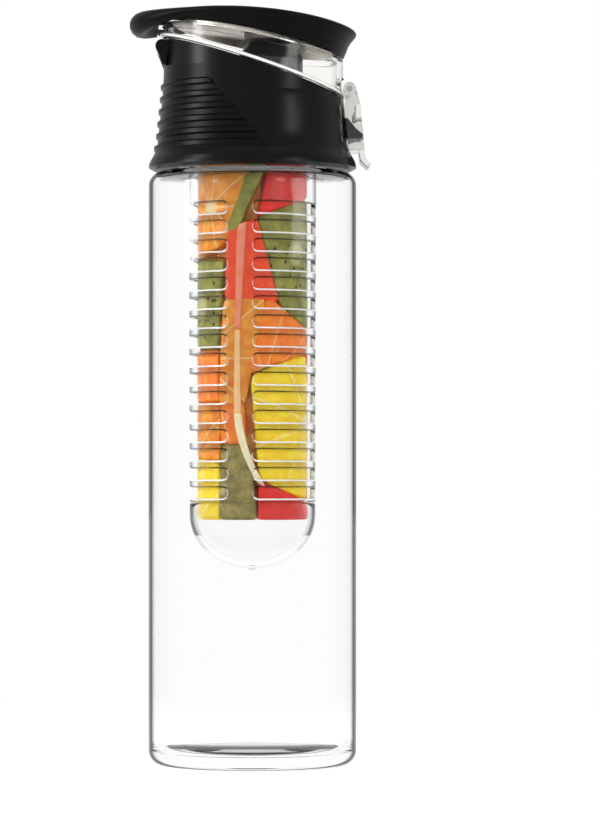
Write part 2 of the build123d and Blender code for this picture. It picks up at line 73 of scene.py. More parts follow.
class Recipe:
    """Builds the nodes of one material, or of the world, with short calls."""

    def __init__(self, name: str, world: bool = False) -> None:
        """Starts with nothing but the output.

        Args:
            name: the material's or the world's name.
            world: whether it is the world.
        """
        self.made = (bpy.data.worlds if world else bpy.data.materials).new(name)
        self.made.use_nodes = True
        self.tree = self.made.node_tree
        self.tree.nodes.clear()
        self.output = self.node("OutputWorld" if world else "OutputMaterial")

    def node(self, kind: str, values: dict | None = None, **settings: object) -> bpy.types.Node:
        """Adds a node.

        Args:
            kind: the node's type without its ShaderNode start.
            values: input values or sources, by input name or index.
            settings: the node's own properties.

        Returns:
            The new node.
        """
        made = self.tree.nodes.new("ShaderNode" + kind)
        for key, value in settings.items():
            setattr(made, key, value)
        for key, value in (values or {}).items():
            if isinstance(value, Source):
                self.tree.links.new(value, made.inputs[key])
            else:
                made.inputs[key].default_value = value
        return made

    def place(self) -> Source:
        """Returns the surface's place in the piece's own coordinates."""
        return self.node("TexCoord").outputs["Object"]

    def noise(self, place: Source, scale: float, detail: float = 2.0) -> Source:
        """Returns soft noise of a scale and a detail, from 0 to 1."""
        return self.node("TexNoise", {"Vector": place, "Scale": scale, "Detail": detail}).outputs["Fac"]

    def ramp(self, factor: Source, stops: Sequence[tuple[float, Colour]]) -> Source:
        """Adds a colour ramp.

        Args:
            factor: what runs along the ramp.
            stops: places and colours.

        Returns:
            The ramp's colour.
        """
        made = self.node("ValToRGB", {"Fac": factor})
        band = made.color_ramp
        while len(band.elements) < len(stops):
            band.elements.new(1.0)
        for element, (place, colour) in zip(band.elements, stops):
            element.position = place
            element.color = (*colour, 1.0)
        return made.outputs["Color"]

    def maths(self, operation: str, *values: Source | float) -> Source:
        """Returns the result of a maths node on one to three numbers or sources."""
        return self.node("Math", dict(enumerate(values)), operation=operation).outputs[0]

    def blend(self, share: Source | float, low: Source | Colour, high: Source | Colour) -> Source:
        """Returns the mix of two colours, by how much of the high one shows."""
        low, high = ((*colour, 1.0) if isinstance(colour, tuple) else colour for colour in (low, high))
        return self.node("Mix", {0: share, 6: low, 7: high}, data_type="RGBA").outputs[2]

    def fade(self, value: Source, start: float, end: float, low: float = 0.0, high: float = 1.0) -> Source:
        """Maps a value's range onto another, and holds it at both ends.

        Args:
            value: the value.
            start: where the range starts.
            end: where it ends.
            low: the result at the start.
            high: the result at the end.

        Returns:
            The mapped value.
        """
        ends = {"From Min": start, "From Max": end, "To Min": low, "To Max": high}
        return self.node("MapRange", {"Value": value, **ends}).outputs["Result"]

    def rays(self, *kinds: str) -> Source:
        """Tells the rays of some kinds from all others.

        Args:
            kinds: names of the light path's outputs.

        Returns:
            1 for a ray of one of the kinds, otherwise 0.
        """
        path = self.node("LightPath").outputs
        found = path[kinds[0]]
        for kind in kinds[1:]:
            found = self.maths("MAXIMUM", found, path[kind])
        return found

    def finish(self, shader: Source) -> Material | bpy.types.World:
        """Ends the material or the world with its shader.

        Args:
            shader: the shader that shows.

        Returns:
            The finished material or world.
        """
        self.tree.links.new(shader, self.output.inputs["Surface"])
        return self.made

    def surface(self, values: dict) -> Material:
        """Ends the material with a surface of these input values or sources."""
        return self.finish(self.node("BsdfPrincipled", values).outputs[0])


@dataclass(frozen=True)
class ClearPlastic:
    """Clear moulded plastic with painted shade: its colour turns grey where the wall is seen edge on."""

    name: str
    middle: Colour = (0.985, 0.99, 0.99)
    edge: Colour = (0.0, 0.0, 0.0)
    edge_start: float = 0.64
    edge_full: float = 0.74
    ior: float = 1.16
    haze_and_side_shade: float = 1.0
    haze_and_side_shade_start: float = 0.28
    haze_and_side_shade_full: float = 0.45

    def build(self) -> Material:
        """Makes the material.

        Returns:
            The clear material.
        """
        recipe = Recipe(self.name)
        # Painted shade: the colour greys by facing, towards the wall's edges as seen.
        facing = recipe.node("LayerWeight", {"Blend": 0.5}).outputs["Facing"]
        side = tuple(self.haze_and_side_shade * part for part in self.middle)
        stops = [(self.edge_start, side), (self.edge_full, self.edge)]
        if self.haze_and_side_shade < 1:
            stops = [(self.haze_and_side_shade_start, self.middle), (self.haze_and_side_shade_full, side), *stops]
        return recipe.surface({"Base Color": recipe.ramp(facing, stops), "Roughness": 0.0, "IOR": self.ior,
                               "Transmission Weight": 1.0})


@dataclass(frozen=True)
class BlackPlastic:
    """Dark moulded plastic or soft coating with a fine spark-eroded grain."""

    name: str
    colour: Colour = (0.0035, 0.0035, 0.0032)
    roughness: float = 0.3
    specular: float = 0.1
    grain: float = 900.0
    grain_detail: float = 3.0
    grain_strength: float = 0.08
    grain_height: float = 0.05
    cloud: float = 18.0
    uneven: float = 0.05

    def build(self) -> Material:
        """Makes the material.

        Returns:
            The black material.
        """
        recipe = Recipe(self.name)
        place = recipe.place()
        fine = recipe.noise(place, self.grain, self.grain_detail)
        broad = recipe.noise(place, self.cloud)
        bump = recipe.node("Bump", {"Height": fine, "Strength": self.grain_strength,
                                    "Distance": self.grain_height * MM})
        dull = recipe.fade(broad, 0.0, 1.0, self.roughness - self.uneven, self.roughness + self.uneven)
        return recipe.surface({"Base Color": (*self.colour, 1.0), "Roughness": dull,
                               "Specular IOR Level": self.specular, "Normal": bump.outputs["Normal"]})


@dataclass(frozen=True)
class Silicone:
    """Milky silicone with a soft surface."""

    name: str
    colour: Colour = (0.52, 0.53, 0.53)
    cloud: float = 300.0
    roughness: Spot = (0.45, 0.6)
    glow: float = 0.2
    glow_depth: float = 2.0

    def build(self) -> Material:
        """Makes the material.

        Returns:
            The silicone.
        """
        recipe = Recipe(self.name)
        dull = recipe.fade(recipe.noise(recipe.place(), self.cloud), 0.0, 1.0, *self.roughness)
        return recipe.surface({"Base Color": (*self.colour, 1.0), "Roughness": dull,
                               "Subsurface Weight": self.glow, "Subsurface Scale": self.glow_depth * MM})


@dataclass(frozen=True)
class PaintedLightPlastic:
    """Light satin plastic with a faint cloudiness, for painted highlights and painted reflections."""

    name: str
    colour: Colour = (0.93, 0.88, 0.8)
    metallic: float = 0.9
    roughness: float = 0.3
    uneven: float = 0.05
    cloud: float = 60.0
    cloud_ends: Spot = (0.3, 0.7)
    shade: float = 0.9

    def build(self) -> Material:
        """Makes the material.

        Returns:
            The pearly material.
        """
        recipe = Recipe(self.name)
        haze_and_side_shade = recipe.noise(recipe.place(), self.cloud)
        dark = tuple(self.shade * part for part in self.colour)
        dull = recipe.fade(haze_and_side_shade, *self.cloud_ends, self.roughness - self.uneven, self.roughness + self.uneven)
        return recipe.surface({"Base Color": recipe.blend(haze_and_side_shade, dark, self.colour), "Roughness": dull,
                               "Metallic": self.metallic})


@dataclass(frozen=True)
class GroundSteel:
    """Steel pin with fine grinding marks along it."""

    name: str
    colour: Colour = (0.6, 0.6, 0.59)
    marks: Corner = (4000.0, 60.0, 4000.0)
    roughness: Spot = (0.22, 0.4)

    def build(self) -> Material:
        """Makes the material.

        Returns:
            The steel.
        """
        recipe = Recipe(self.name)
        drawn = recipe.node("Mapping", {"Vector": recipe.place(), "Scale": self.marks}).outputs[0]
        dull = recipe.fade(recipe.noise(drawn, 1.0), 0.0, 1.0, *self.roughness)
        return recipe.surface({"Base Color": (*self.colour, 1.0), "Roughness": dull, "Metallic": 1.0})


@dataclass(frozen=True)
class FruitFlesh:
    """Cut fruit: streaked flesh with lines or seeds round its heart, in the slice's own cut coordinates."""

    name: str
    flesh: Colour
    deep: Colour
    heart: Colour
    heart_radius: float = 2.0
    heart_soft: float = 1.5
    segments: int = 0
    line: Colour = (0.9, 0.7, 0.35)
    line_width: Spot = (0.5, 2.0)
    line_share: float = 0.75
    sac_stretch: Spot = (0.25, 7.0)
    sac_scale: float = 1.6
    sac_share: float = 0.6
    sac_strength: float = 0.5
    sac_height: float = 0.3
    cloud: float = 0.22
    cloud_detail: float = 3.0
    cloud_ends: Spot = (0.35, 0.65)
    cloud_share: float = 0.7
    seeds: bool = False
    seed_colour: Colour = (0.02, 0.015, 0.01)
    seed_scale: float = 0.42
    seed_size: Spot = (0.2, 0.3)
    seed_reach: Spot = (11.0, 13.0)
    skin: Colour = (0.8, 0.4, 0.05)
    skin_radius: float = 60.0
    pith_depth: Spot = (2.4, 1.8)
    skin_depth: Spot = (0.9, 0.6)
    roughness: float = 0.3
    specular: float = 0.25

    def lined(self, recipe: Recipe, radius: Source, turn: Source, colour: Source) -> Source:
        """Draws the walls between the segments.

        Args:
            recipe: the material's recipe.
            radius: the distance from the heart.
            turn: the angle about the heart.
            colour: the flesh so far.

        Returns:
            The flesh with its walls.
        """
        wave = recipe.maths("SINE", recipe.maths("MULTIPLY", turn, self.segments / 2))
        gap = recipe.maths("MULTIPLY", recipe.maths("ABSOLUTE", wave), radius)
        return recipe.blend(recipe.fade(gap, *self.line_width, self.line_share, 0.0), colour, self.line)

    def seeded(self, recipe: Recipe, cut: Source, radius: Source, outside: Source, colour: Source) -> Source:
        """Sets seeds in a ring round the heart.

        Args:
            recipe: the material's recipe.
            cut: the cut coordinates.
            radius: the distance from the heart.
            outside: how far a place is out of the heart, from 0 to 1.
            colour: the flesh so far.

        Returns:
            The flesh with its seeds.
        """
        grid = recipe.node("TexVoronoi", {"Vector": cut, "Scale": self.seed_scale}).outputs["Distance"]
        spots = recipe.maths("MULTIPLY", recipe.fade(grid, *self.seed_size, 1.0, 0.0), outside)
        spots = recipe.maths("MULTIPLY", spots, recipe.fade(radius, *self.seed_reach, 1.0, 0.0))
        return recipe.blend(spots, colour, self.seed_colour)

    def build(self) -> Material:
        """Makes the material.

        Returns:
            The fruit's material.
        """
        recipe = Recipe(self.name)
        cut = recipe.node("Attribute", attribute_name=CUT).outputs["Vector"]
        across, up, depth = recipe.node("SeparateXYZ", {0: cut}).outputs
        squares = (recipe.maths("MULTIPLY", part, part) for part in (across, up))
        radius = recipe.maths("SQRT", recipe.maths("ADD", *squares))
        turn = recipe.maths("ARCTAN2", up, across)
        stretched = [recipe.maths("MULTIPLY", *pair) for pair in zip((radius, turn), self.sac_stretch)]
        streaks = recipe.node("CombineXYZ", dict(enumerate([*stretched, depth]))).outputs[0]
        sacs = recipe.node("TexVoronoi", {"Vector": streaks, "Scale": self.sac_scale}).outputs["Distance"]
        broad = recipe.fade(recipe.noise(cut, self.cloud, self.cloud_detail), *self.cloud_ends, 0.0,
                            self.cloud_share)
        mixed = recipe.maths("ADD", recipe.maths("MULTIPLY", sacs, self.sac_share), broad)
        colour = recipe.blend(mixed, self.flesh, self.deep)
        heart_ends = (self.heart_radius, self.heart_radius + self.heart_soft)
        if self.segments:
            colour = self.lined(recipe, radius, turn, colour)
        if self.seeds:
            colour = self.seeded(recipe, cut, radius, recipe.fade(radius, *heart_ends), colour)
        colour = recipe.blend(recipe.fade(radius, *heart_ends, 1.0, 0.0), colour, self.heart)
        for (start, full), ring in ((self.pith_depth, self.line), (self.skin_depth, self.skin)):
            share = recipe.fade(radius, self.skin_radius - start, self.skin_radius - full)
            colour = recipe.blend(share, colour, ring)
        bump = recipe.node("Bump", {"Height": sacs, "Strength": self.sac_strength,
                                    "Distance": self.sac_height * MM})
        return recipe.surface({"Base Color": colour, "Roughness": self.roughness,
                               "Specular IOR Level": self.specular, "Normal": bump.outputs["Normal"]})


Finish = ClearPlastic | BlackPlastic | Silicone | PaintedLightPlastic | GroundSteel | FruitFlesh
Finishes = dict[str, Material]
FINISHES: dict[str, Finish] = {
    "shell": ClearPlastic("clear_shell", haze_and_side_shade=0.95),
    "basket": ClearPlastic("clear_basket", edge=(0.06, 0.062, 0.06), edge_start=0.6, edge_full=0.78,
                           ior=1.14),
    "cap": ClearPlastic("clear_cap", (0.97, 0.97, 0.955), (0.3, 0.31, 0.29), 0.6, 0.95),
    "latch": ClearPlastic("clear_latch", (0.78, 0.79, 0.76), (0.0, 0.0, 0.0), 0.1, 0.4, 1.4),
    # Lightly shaded copy: faint painted edge shade, for inward faces, the flat shoulder and the dome's foot.
    "inside": ClearPlastic("clear_inside", edge=(0.9, 0.9, 0.9)),
    # Darkly shaded copy: strong painted edge shade, for the basket's end cap.
    "end": ClearPlastic("clear_end", edge=(0.01, 0.01, 0.01), edge_start=0.5, edge_full=0.7),
    # Painted shade: dark clear finish for the slots' upper edges and the latch's rounded edges.
    "painted_shade": ClearPlastic("clear_painted_shade", (0.2, 0.2, 0.19), (0.03, 0.03, 0.03)),
    # Painted highlight: white satin for the slots' lower edges and ends, and the bottle's neck edge.
    "painted_highlight": PaintedLightPlastic("clear_painted_highlight", (0.95, 0.95, 0.93), 0.0, 0.15),
    # Painted reflection: pale sheet inside the clear flip cap.
    "reflection_sheet": PaintedLightPlastic("cap_reflection_sheet"),
    # Painted highlight: white bead at the skirt's foot.
    "bead": PaintedLightPlastic("cap_bead", (0.97, 0.97, 0.95), 0.3, 0.15),
    "collar": BlackPlastic("black_collar"),
    "grip": BlackPlastic("black_grip", (0.003, 0.003, 0.003), 0.32, 0.08),
    "cover": BlackPlastic("black_cover", (0.003, 0.003, 0.003), 0.4, 0.06),
    "spout": BlackPlastic("black_spout", roughness=0.2, specular=0.5),
    "silicone": Silicone("silicone_milky"),
    "steel": GroundSteel("steel_pin"),
    "amber": FruitFlesh("fruit_amber", (0.92, 0.42, 0.03), (0.75, 0.2, 0.01), (0.9, 0.7, 0.4), segments=9,
                        line=(0.88, 0.6, 0.22)),
    "orange": FruitFlesh("fruit_orange", (0.98, 0.3, 0.02), (0.9, 0.18, 0.01), (0.9, 0.6, 0.3), segments=10,
                         line=(0.92, 0.5, 0.14)),
    "lemon": FruitFlesh("fruit_lemon", (0.98, 0.8, 0.03), (0.95, 0.62, 0.01), (0.95, 0.85, 0.5), segments=9,
                        line=(0.95, 0.82, 0.35)),
    "kiwi": FruitFlesh("fruit_kiwi", (0.4, 0.38, 0.06), (0.2, 0.2, 0.03), (0.5, 0.5, 0.2), 3.0, seeds=True,
                       line=(0.3, 0.33, 0.08)),
    "berry": FruitFlesh("fruit_berry", (0.95, 0.1, 0.02), (0.85, 0.05, 0.01), (0.95, 0.3, 0.2)),
    "melon": FruitFlesh("fruit_melon", (0.85, 0.03, 0.02), (0.75, 0.02, 0.012), (0.85, 0.4, 0.3)),
    "olive": FruitFlesh("fruit_olive", (0.5, 0.38, 0.12), (0.2, 0.17, 0.04), (0.5, 0.45, 0.2)),
    "peel": FruitFlesh("fruit_peel", (0.95, 0.62, 0.33), (0.92, 0.5, 0.2), (0.95, 0.5, 0.4)),
    # Pink rind colour for the strip that paints the front rib's highlight.
    "rind": FruitFlesh("fruit_rind_glint", (0.9, 0.34, 0.22), (0.85, 0.22, 0.12), (0.95, 0.5, 0.4)),
    "pith": FruitFlesh("fruit_pith", (0.98, 0.93, 0.7), (0.95, 0.8, 0.45), (0.95, 0.85, 0.6)),
}
PAINTED = {
    "lid_collar": "collar", "lid_insert": "collar", "grip_sleeve": "grip", "drinking_spout": "spout",
    "flip_cap": "cap", "lid_gasket": "silicone", "vent_valve": "silicone", "spout_seal": "silicone",
    "infuser_seal": "silicone", "hinge_pin": "steel", "latch_pin": "steel",
}


# Modelling


def rounded(corners: Sequence[Corner], steps: int) -> list[Spot]:
    """Turns outline corners into points, with each corner's radius drawn as an arc.

    Args:
        corners: places and radii, in millimetres.
        steps: straight pieces in each arc.

    Returns:
        The outline's points, in millimetres.
    """
    points: list[Spot] = []
    for index, (x, y, radius) in enumerate(corners):
        if not radius or index in (0, len(corners) - 1):
            points.append((x, y))
            continue
        here = Vector((x, y))
        back = (Vector(corners[index - 1][:2]) - here).normalized()
        ahead = (Vector(corners[index + 1][:2]) - here).normalized()
        half = back.angle(ahead) / 2
        centre = here + (back + ahead).normalized() * radius / sin(half)
        start = here + back * radius / tan(half) - centre
        turn = start.angle_signed(here + ahead * radius / tan(half) - centre)
        for step in range(steps + 1):
            arm = Matrix.Rotation(-turn * step / steps, 2) @ start
            points.append(tuple(centre + arm))
    return points


def polar(radius: float, angle: float, height: float) -> Vector:
    """Returns a point about Z in metres, from millimetres and radians."""
    return Vector((radius * cos(angle), radius * sin(angle), height)) * MM


def inward(place: Vector, normal: Vector, least: float = 0.1) -> bool:
    """Tells whether a face looks towards the Z axis, by at least a share of its normal."""
    return normal.x * place.x + normal.y * place.y < -least * hypot(place.x, place.y)


def sideways(place: Vector, normal: Vector, least: float = 0.8) -> bool:
    """Tells whether a face looks round the Z axis, by at least a share of its normal."""
    return abs(normal.y * place.x - normal.x * place.y) > least * hypot(place.x, place.y)


class Bench:
    """Modelling steps with Blender's own operators."""

    POLE = 0.02
    POLE_MERGE = 0.03

    @staticmethod
    def clear() -> None:
        """Leaves edit mode and deselects every object."""
        if bpy.context.object and bpy.context.object.mode != "OBJECT":
            bpy.ops.object.mode_set(mode="OBJECT")
        bpy.ops.object.select_all(action="DESELECT")

    @classmethod
    def take(cls, piece: Piece) -> None:
        """Selects one piece alone.

        Args:
            piece: the piece.
        """
        cls.clear()
        piece.select_set(True)
        bpy.context.view_layer.objects.active = piece

    @classmethod
    def edit(cls, piece: Piece) -> None:
        """Opens a piece in edit mode, with all of it selected.

        Args:
            piece: the piece.
        """
        cls.take(piece)
        bpy.ops.object.mode_set(mode="EDIT")
        bpy.ops.mesh.select_all(action="SELECT")

    @classmethod
    def close(cls, piece: Piece, merge: float = 0.0) -> None:
        """Turns a closed piece's faces outwards.

        Args:
            piece: the piece.
            merge: points nearer to each other than this, in millimetres, become one first.
        """
        cls.edit(piece)
        if merge:
            bpy.ops.mesh.remove_doubles(threshold=merge * MM)
        bpy.ops.mesh.normals_make_consistent(inside=False)
        bpy.ops.object.mode_set(mode="OBJECT")

    @staticmethod
    def named(name: str) -> Piece:
        """Names the primitive that was added last and returns it."""
        bpy.context.object.name = name
        return bpy.context.object

    @staticmethod
    def copy(piece: Piece, name: str) -> Piece:
        """Copies a piece with its mesh.

        Args:
            piece: the piece.
            name: the copy's name.

        Returns:
            The copy.
        """
        twin = piece.copy()
        twin.data = piece.data.copy()
        twin.name = name
        bpy.context.collection.objects.link(twin)
        return twin

    @classmethod
    def lathe(cls, name: str, path: Sequence[Spot], sides: int, turn: float = 0.0) -> Piece:
        """Draws a ring through a path of radii and heights, about Z.

        Args:
            name: the piece's name.
            path: radii and heights in millimetres; a radius of zero closes to a pole.
            sides: points in each ring.
            turn: angle of the first point in degrees.

        Returns:
            The turned piece, with its faces outwards when the path is closed by poles.
        """
        cls.clear()
        rings = [(max(radius, cls.POLE) * MM, height * MM) for radius, height in path]
        bpy.ops.mesh.primitive_circle_add(vertices=sides, radius=rings[0][0], location=(0, 0, rings[0][1]),
                                          rotation=(0, 0, radians(turn)))
        piece = cls.named(name)
        bpy.ops.object.transform_apply(location=True, rotation=True)
        cls.edit(piece)
        for (radius, height), (next_radius, next_height) in zip(rings, rings[1:]):
            bpy.ops.mesh.extrude_region_move(TRANSFORM_OT_translate={"value": (0, 0, next_height - height)})
            share = next_radius / radius
            bpy.ops.transform.resize(value=(share, share, 1), center_override=(0, 0, next_height))
        cls.close(piece, cls.POLE_MERGE)
        return piece

    @classmethod
    def rings(cls, name: str, count: int, sides: int, place: Callable[[int, float], Vector]) -> Piece:
        """Draws a stack of rings and moves each point to its place.

        Args:
            name: the piece's name.
            count: how many rings; the first and the last are poles, or the same ring of a closed tube.
            sides: points in each ring.
            place: gives a point's place in metres from its ring's number and its angle in radians.

        Returns:
            The closed piece, with its faces outwards.
        """
        cls.clear()
        bpy.ops.mesh.primitive_circle_add(vertices=sides, radius=MM)
        piece = cls.named(name)
        cls.edit(piece)
        for _ in range(count - 1):
            bpy.ops.mesh.extrude_region_move(TRANSFORM_OT_translate={"value": (0, 0, MM)})
        bpy.ops.object.mode_set(mode="OBJECT")
        for vertex in piece.data.vertices:
            vertex.co = place(round(vertex.co.z / MM), atan2(vertex.co.y, vertex.co.x))
        cls.close(piece, MERGE)
        return piece

    @classmethod
    def smooth(cls, piece: Piece, angle: float) -> None:
        """Shades a piece smooth, with sharp edges past an angle.

        Args:
            piece: the piece.
            angle: the angle in degrees.
        """
        cls.take(piece)
        bpy.ops.object.shade_smooth_by_angle(angle=radians(angle))

    @classmethod
    def apply(cls, piece: Piece, kind: str, **settings: object) -> None:
        """Adds a modifier and applies it.

        Args:
            piece: the piece.
            kind: the modifier's type.
            settings: the modifier's properties.
        """
        cls.take(piece)
        modifier = piece.modifiers.new(kind.title(), kind)
        for key, value in settings.items():
            setattr(modifier, key, value)
        bpy.ops.object.modifier_apply(modifier=modifier.name)

    @classmethod
    def bevel(cls, piece: Piece, width: float, segments: int, angle: float) -> None:
        """Rounds a piece's edges that are sharper than an angle.

        Args:
            piece: the piece.
            width: the rounded edge's width in millimetres.
            segments: faces across it.
            angle: the angle in degrees.
        """
        cls.apply(piece, "BEVEL", width=width * MM, segments=segments, limit_method="ANGLE",
                  angle_limit=radians(angle))

    @staticmethod
    def second_finish(piece: Piece, material: Material, wanted: Callable[[Vector, Vector], bool]) -> None:
        """Gives some faces a further material.

        Args:
            piece: the piece, with its first material on.
            material: the further material.
            wanted: tells from a face's middle and normal whether it takes the material.
        """
        piece.data.materials.append(material)
        for face in piece.data.polygons:
            if wanted(face.center, face.normal):
                face.material_index = len(piece.data.materials) - 1

    @classmethod
    def cut_faces(cls, piece: Piece, wanted: Callable[[Vector], bool]) -> None:
        """Deletes the faces whose middle is wanted.

        Args:
            piece: the piece.
            wanted: tells whether a face's middle is to go.
        """
        cls.edit(piece)
        bpy.ops.mesh.select_mode(type="FACE")
        bpy.ops.mesh.select_all(action="DESELECT")
        bpy.ops.object.mode_set(mode="OBJECT")
        for face in piece.data.polygons:
            face.select = wanted(face.center)
        bpy.ops.object.mode_set(mode="EDIT")
        bpy.ops.mesh.delete(type="FACE")
        bpy.ops.mesh.select_mode(type="VERT")
        bpy.ops.object.mode_set(mode="OBJECT")


def dress(piece: Piece, material: Material, body: str, slot: str, *nodes: str) -> None:
    """Gives a new piece its material and its body.

    Args:
        piece: the piece.
        material: its material.
        body: the body that it rides on.
        slot: not used.
        nodes: the nodes that it stands for.
    """
    piece.data.materials.clear()
    piece.data.materials.append(material)
    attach(piece, body)
    if nodes:
        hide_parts(*nodes)
    LOG.info("%s: %d faces on %s", piece.name, len(piece.data.polygons), body)


# Sub-assemblies


@dataclass
class BottleShell:
    """Clear bottle: thick base with a pushed-up middle, straight wall, rounded shoulder and threaded neck."""

    radius: float = 36.0
    wall: float = 2.0
    top: float = 205.0
    base: float = 4.4
    base_corner: float = 5.0
    shoulder_corner: float = 4.5
    foot: float = 25.0
    foot_corner: float = 3.0
    foot_slope: float = 4.0
    foot_rise: float = 1.5
    slope_corner: float = 2.0
    floor_corner: float = 4.9
    inner_corner: float = 2.5
    neck: float = 27.0
    neck_wall: float = 2.4
    neck_top: float = 222.0
    neck_corner: float = 1.5
    mouth_corner: float = 0.8
    thread_rows: tuple[float, ...] = (209.5, 213.5, 217.5)
    thread_out: float = 1.0
    thread_half: float = 0.9
    thread_corner: float = 0.4
    level: float = 0.8
    arc_steps: int = 8
    sides: int = 192
    smooth_angle: float = 35.0

    def corners(self) -> list[Corner]:
        """Draws the closed outline from the outer pole to the inner one.

        Returns:
            The corners' radii, heights and roundings.
        """
        edge = self.foot + self.foot_slope
        bore = self.neck - self.neck_wall
        inner = self.radius - self.wall
        ceiling = self.top - self.wall
        line: list[Corner] = [
            (0, self.foot_rise, 0), (self.foot, self.foot_rise, self.foot_corner),
            (edge, 0, self.slope_corner), (self.radius, 0, self.base_corner),
            (self.radius, self.top, self.shoulder_corner), (self.neck, self.top, self.neck_corner)]
        for row in self.thread_rows:
            line += [(self.neck, row - self.thread_half, 0),
                     (self.neck + self.thread_out, row, self.thread_corner),
                     (self.neck, row + self.thread_half, 0)]
        line += [
            (self.neck, self.neck_top, self.mouth_corner), (bore, self.neck_top, self.mouth_corner),
            (bore, ceiling, self.neck_corner), (inner, ceiling, self.inner_corner),
            (inner, self.base, self.floor_corner), (edge, self.base, 0),
            (self.foot, self.base + self.foot_rise, 0), (0, self.base + self.foot_rise, 0)]
        return line

    def on_shoulder(self, place: Vector, normal: Vector) -> bool:
        """Tells whether a face belongs to the flat shoulder."""
        return abs(normal.z) > self.level and place.z > (self.top - 2 * self.wall) * MM

    def at_neck(self, place: Vector, normal: Vector) -> bool:
        """Tells whether a face belongs to the rounded edge between the shoulder and the neck's bore."""
        reach = hypot(place.x, place.y) / MM
        return -self.level < normal.z < 0 and abs(place.z / MM - self.top) < self.wall and reach < self.neck

    def build(self, finishes: Finishes) -> None:
        """Makes the shell.

        Args:
            finishes: materials by name.
        """
        shell = Bench.lathe("bottle_shell", rounded(self.corners(), self.arc_steps), self.sides)
        Bench.smooth(shell, self.smooth_angle)
        dress(shell, finishes["shell"], "bottle", "clear_shell", "bottle_body")
        # Inward faces and the flat shoulder take the copy with faint painted edge shade.
        Bench.second_finish(shell, finishes["inside"], inward)
        Bench.second_finish(shell, finishes["inside"], self.on_shoulder)
        # Painted highlight: the rounded edge at the neck takes the white finish, drawn as a white arc.
        Bench.second_finish(shell, finishes["painted_highlight"], self.at_neck)


@dataclass(frozen=True)
class Tilted:
    """A plane that tips forward, by its height in the middle and its fall for each millimetre of X."""

    height: float
    fall: float

    def at(self, x: float) -> float:
        """Returns the plane's height at an X in millimetres."""
        return self.height - self.fall * x


class CoverBand(IntEnum):
    """The bands of the cover's rings, by their first ring."""

    POCKET = 0
    SEAT = 2
    WAIST = 4
    RIM = 5


@dataclass
class CapCover:
    """Black cover of the flip cap: flared brow, crowned top, pocket for the cap and a rounded lip behind."""

    seat: Tilted = Tilted(250.6, 0.207)
    seat_bow: float = 1.0
    waist: Tilted = Tilted(253.2, 0.125)
    brow: Tilted = Tilted(255.6, 0.078)
    pocket: Tilted = Tilted(256.05, 0.0875)
    pocket_radius: float = 30.05
    edge: float = 31.8
    waist_out: float = 1.3
    waist_lip: float = 3.4
    back: float = 35.4
    front: float = 36.1
    half_width: float = 34.35
    lip_middle: Spot = (38.8, 256.0)
    lip_radius: float = 4.4
    lip_full: float = 5.0
    lip_end: float = 56.0
    bulge: float = 2.1
    bulge_x: float = 4.0
    bulge_front: float = 32.0
    bulge_back: float = 37.0
    sides: int = 160
    smooth_angle: float = 60.0
    rim: tuple[Spot, ...] = (
        (-1.2, -2.0), (-0.3, -0.75), (0.0, 0.05), (-0.2, 0.7), (-0.85, 1.1), (-2.3, 1.35))
    lip: tuple[float, ...] = (-118.0, -62.0, -12.0, 34.0, 76.0, 112.0)
    crown: tuple[Spot, ...] = ((0.86, 1.45), (0.7, 1.8), (0.5, 2.1), (0.25, 2.3), (0.0, 2.35))

    def lip_share(self, angle: float) -> float:
        """Finds how much of the lip shows.

        Args:
            angle: the angle about Z in radians.

        Returns:
            The lip's share, from 0 to 1.
        """
        off = degrees(pi - abs(angle))
        share = max(0.0, min(1.0, (self.lip_end - off) / (self.lip_end - self.lip_full)))
        return share * share * (3 - 2 * share)

    def brow_reach(self, angle: float) -> float:
        """Returns the plain brow's radius at an angle about Z."""
        reach = self.front if abs(angle) < pi / 2 else self.back
        return 1 / hypot(cos(angle) / reach, sin(angle) / self.half_width)

    def brow_level(self, x: float) -> float:
        """Returns the height of the bowed brow at an X."""
        span = self.bulge_front if x > self.bulge_x else self.bulge_back
        return self.brow.at(x) + self.bulge * max(0.0, 1 - ((x - self.bulge_x) / span) ** 2)

    def place(self, ring: int, angle: float) -> Vector:
        """Finds a point of the cover.

        Args:
            ring: the ring's number, from the pocket's middle to the crown's.
            angle: the angle about Z in radians.

        Returns:
            The point in metres.
        """
        share = self.lip_share(angle)
        brow = self.brow_reach(angle)
        bow = self.seat_bow * sin(angle) ** 2
        first_crown = CoverBand.RIM + len(self.rim)
        if ring < CoverBand.SEAT:
            radius = ring * self.pocket_radius
            height = self.pocket.at(radius * cos(angle))
        elif ring < CoverBand.WAIST:
            radius = (self.pocket_radius, self.edge)[ring - CoverBand.SEAT]
            height = self.seat.at(radius * cos(angle)) + bow
        elif ring < CoverBand.RIM:
            radius = self.edge + self.waist_out + share * self.waist_lip
            height = self.waist.at(radius * cos(angle)) + bow / 2
        elif ring < first_crown:
            inset, rise = self.rim[ring - CoverBand.RIM]
            turn = radians(self.lip[ring - CoverBand.RIM])
            radius = brow + inset
            height = self.brow_level(radius * cos(angle)) + rise
            radius += share * (self.lip_middle[0] + self.lip_radius * cos(turn) - radius)
            height += share * (self.lip_middle[1] + self.lip_radius * sin(turn) - height)
        else:
            part, rise = self.crown[ring - first_crown]
            radius = part * brow
            height = self.brow_level(radius * cos(angle)) + rise
        return polar(radius, angle, height)

    def build(self, material: Material) -> None:
        """Makes the cover.

        Args:
            material: the soft black finish.
        """
        count = CoverBand.RIM + len(self.rim) + len(self.crown)
        cover = Bench.rings("cover_shell", count, self.sides, self.place)
        Bench.apply(cover, "SUBSURF", levels=1, render_levels=1)
        Bench.smooth(cover, self.smooth_angle)
        dress(cover, material, "flip", "black_matte", "cap_cover")


